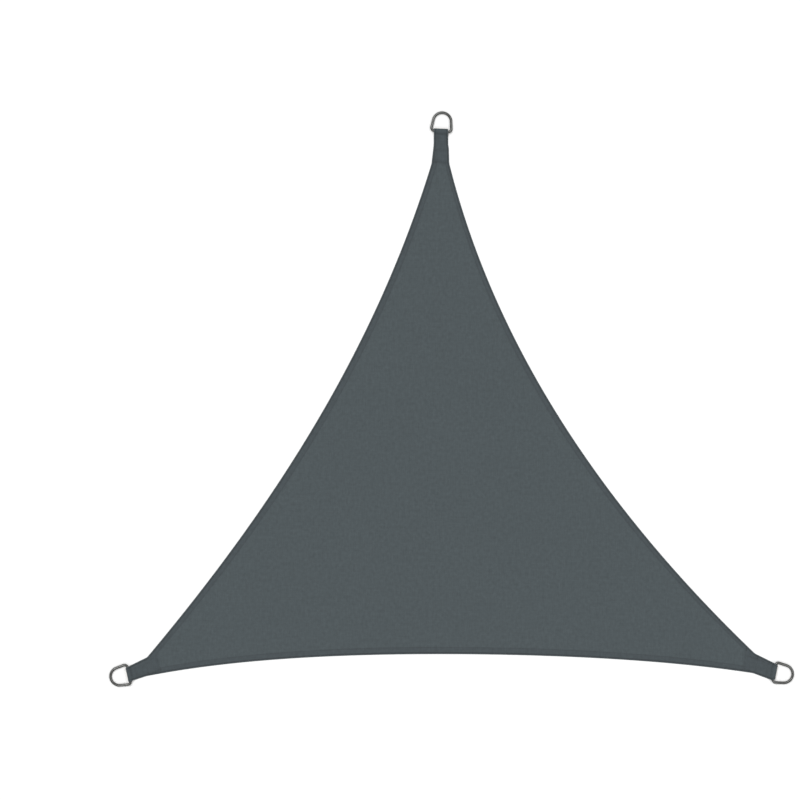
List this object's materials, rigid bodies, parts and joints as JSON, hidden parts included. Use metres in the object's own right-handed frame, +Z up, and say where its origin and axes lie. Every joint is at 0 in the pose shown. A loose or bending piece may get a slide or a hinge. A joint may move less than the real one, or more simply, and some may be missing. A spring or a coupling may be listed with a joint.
{
  "type": "triangular shade sail",
  "caption": "Triangular fabric shade sail with curved hemmed edges and a steel D ring on webbing at each corner, laid out flat.",
  "frame": {"origin": "the middle of the bounding box's underside, on the ground that the sail is spread out on", "axes": "+X along the lower edge, from the left corner to the right one; +Y towards the top corner; +Z up, out of the cloth's right side"},
  "size_m": [2.0536, 1.7252, 0.0124],
  "materials": {
    "sail_cloth": "matt slate grey plain-weave polyester",
    "webbing": "cream ribbed polyester webbing",
    "ring_steel": "smooth bright steel wire"
  },
  "bodies": {
    "root": {"sail_cloth": "sail_cloth", "webbing_loop_top": "webbing", "webbing_loop_left": "webbing", "webbing_loop_right": "webbing", "d_ring_top": "ring_steel", "d_ring_left": "ring_steel", "d_ring_right": "ring_steel"}
  },
  "joints": []
}
